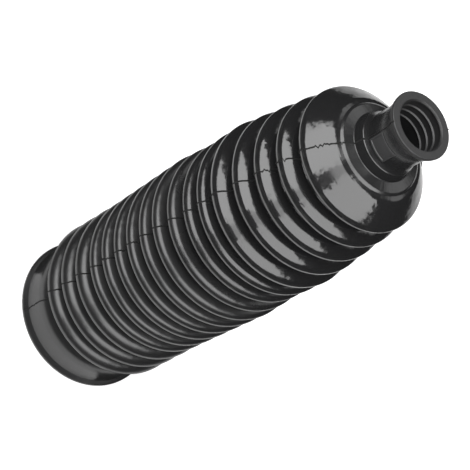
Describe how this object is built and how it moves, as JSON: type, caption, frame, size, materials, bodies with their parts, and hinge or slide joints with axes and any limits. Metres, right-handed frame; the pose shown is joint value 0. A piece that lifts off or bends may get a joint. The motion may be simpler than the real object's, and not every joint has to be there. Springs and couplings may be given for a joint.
{
  "type": "steering rack boot",
  "caption": "Moulded rubber bellows that seals a steering rack's end, with a wide clamp cuff, a shouldered top and a narrow lipped neck.",
  "frame": {"origin": "middle of the cuff's open face, which the boot stands on", "axes": "+Z along the boot's axis, from the cuff to the neck"},
  "size_m": [0.0558, 0.0558, 0.1775],
  "materials": {
    "black_rubber": "black moulded rubber, glossy at the neck and shoulder and satin towards the cuff"
  },
  "bodies": {
    "root": {"bellows_boot": "black_rubber"}
  },
  "joints": []
}
